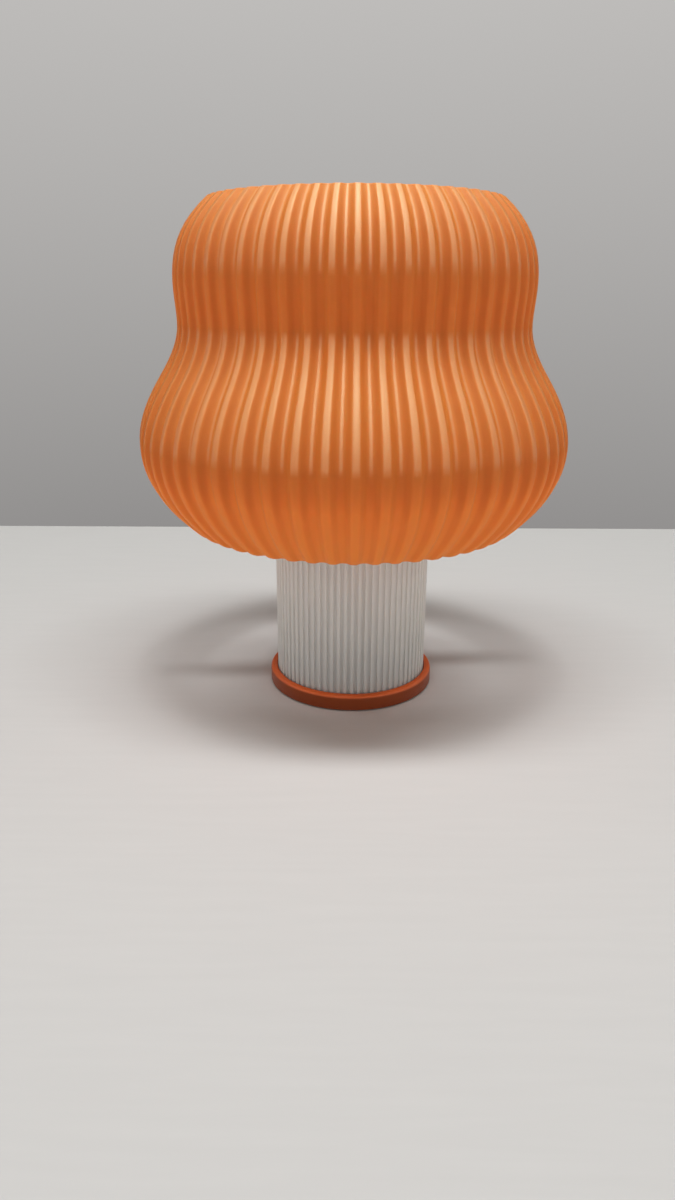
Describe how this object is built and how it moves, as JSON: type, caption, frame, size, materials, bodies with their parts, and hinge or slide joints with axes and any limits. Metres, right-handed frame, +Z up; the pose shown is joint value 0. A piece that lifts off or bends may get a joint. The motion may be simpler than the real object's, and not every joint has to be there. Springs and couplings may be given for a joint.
{
  "type": "table lamp",
  "caption": "Small table lamp with an open ribbed vase-shaped shade on a reeded round stem in a foot ring.",
  "frame": {"origin": "middle of the underside of the pad, on the table", "axes": "+Z up along the lamp's axis, -Y to the front, +Y to the cord entry at the rear"},
  "size_m": [0.1918, 0.192, 0.22],
  "materials": {
    "shade_plastic": "layered, semi-gloss, lets some light through",
    "orange_plastic": "layered, semi-gloss",
    "white_plastic": "layered, satin, slightly translucent",
    "pad_rubber": "fine foam",
    "black_rubber": "smooth",
    "steel": "zinc plated",
    "weight_steel": "dark, cut from plate",
    "brass": "machined",
    "copper": "bare stranded wire",
    "solder": "tinned",
    "clear_nylon": "translucent",
    "brown_insulation": "extruded",
    "blue_insulation": "extruded",
    "holder_plastic": "moulded, semi-gloss",
    "core_ceramic": "unglazed",
    "bulb_black": "glassy",
    "bulb_cap_metal": "rolled",
    "bulb_white": "moulded",
    "opal_globe": "opal, satin",
    "board_green": "lacquered board",
    "board_white": "white lacquered board",
    "board_parts": "moulded",
    "chip_yellow": "cast"
  },
  "bodies": {
    "base": {"base_pad": "pad_rubber", "foot_ring": "orange_plastic", "foot_screws": "steel", "weight_plate": "weight_steel", "weight_screws": "steel", "stem_foot": "white_plastic", "stem_tube": "white_plastic", "cord_bush": "black_rubber", "terminal_housing": "clear_nylon", "terminal_tubes": "brass", "terminal_screws": "steel", "terminal_fixing_screw": "steel", "live_lead": "brown_insulation", "neutral_lead": "blue_insulation", "bare_wire_ends": "copper", "mounting_plate": "white_plastic", "plate_screws": "steel", "holder_cap": "holder_plastic", "holder_core": "core_ceramic", "holder_terminals": "brass", "holder_terminal_screws": "steel", "grip_screw": "steel", "holder_sleeve": "holder_plastic", "screw_shell": "brass", "centre_contact": "brass", "clamp_ring": "holder_plastic"},
    "bulb": {"bulb_contact": "solder", "bulb_insulator": "bulb_black", "bulb_cap": "bulb_cap_metal", "bulb_housing": "bulb_white", "driver_board": "board_green", "driver_parts": "board_parts", "light_board": "board_white", "light_chips": "chip_yellow", "bulb_globe": "opal_globe"},
    "shade": {"shade_spider": "shade_plastic", "shade_bowl": "shade_plastic", "shade_waist": "shade_plastic", "shade_crown": "shade_plastic"}
  },
  "joints": [
    {"name": "shade_lift", "type": "slide", "parent": "base", "child": "shade", "axis": [0, 0, 1], "range_m": [0, 0.09]},
    {"name": "bulb_unscrew", "type": "slide", "parent": "base", "child": "bulb", "axis": [0, 0, 1], "range_m": [0, 0.16]}
  ]
}
